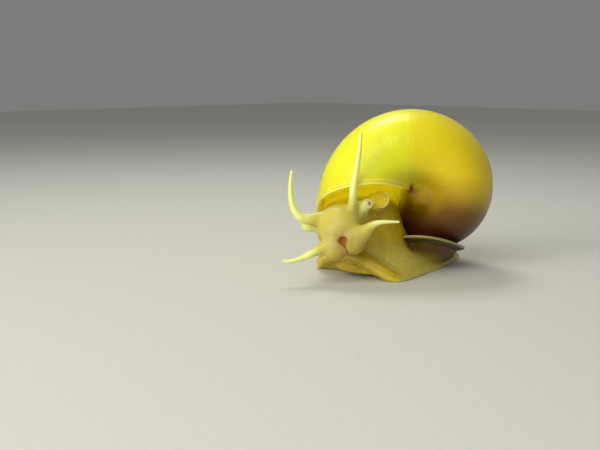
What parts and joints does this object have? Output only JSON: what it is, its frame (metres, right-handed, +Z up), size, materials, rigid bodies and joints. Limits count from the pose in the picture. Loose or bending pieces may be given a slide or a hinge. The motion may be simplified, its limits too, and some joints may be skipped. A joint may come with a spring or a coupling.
{
  "type": "apple snail",
  "caption": "Golden apple snail crawling on a broad foot, its globose shell raised, with long feelers, lip palps, eyes on short stalks and a horny operculum on the tail.",
  "frame": {"origin": "on the floor, under the middle of the bounding box", "axes": "+Z up; the foot crawls towards -Y; the snail's left side faces +X"},
  "size_m": [0.0332, 0.0536, 0.0358],
  "materials": {
    "shell": "glossy lemon yellow shell",
    "operculum": "satin brown horn",
    "skin": "moist cream skin",
    "eye": "wet dark purple"
  },
  "bodies": {
    "root": {"shell": "shell", "operculum": "operculum", "foot_front": "skin", "foot_middle": "skin", "tail": "skin", "neck": "skin", "mantle": "skin", "head": "skin", "snout": "skin", "siphon": "skin", "tentacle_left_1": "skin", "tentacle_left_2": "skin", "tentacle_left_3": "skin", "tentacle_right_1": "skin", "tentacle_right_2": "skin", "tentacle_right_3": "skin", "palp_left_1": "skin", "palp_left_2": "skin", "palp_right_1": "skin", "palp_right_2": "skin", "eye_stalk_left": "skin", "eye_stalk_right": "skin", "eye_left": "eye", "eye_right": "eye"}
  },
  "joints": []
}
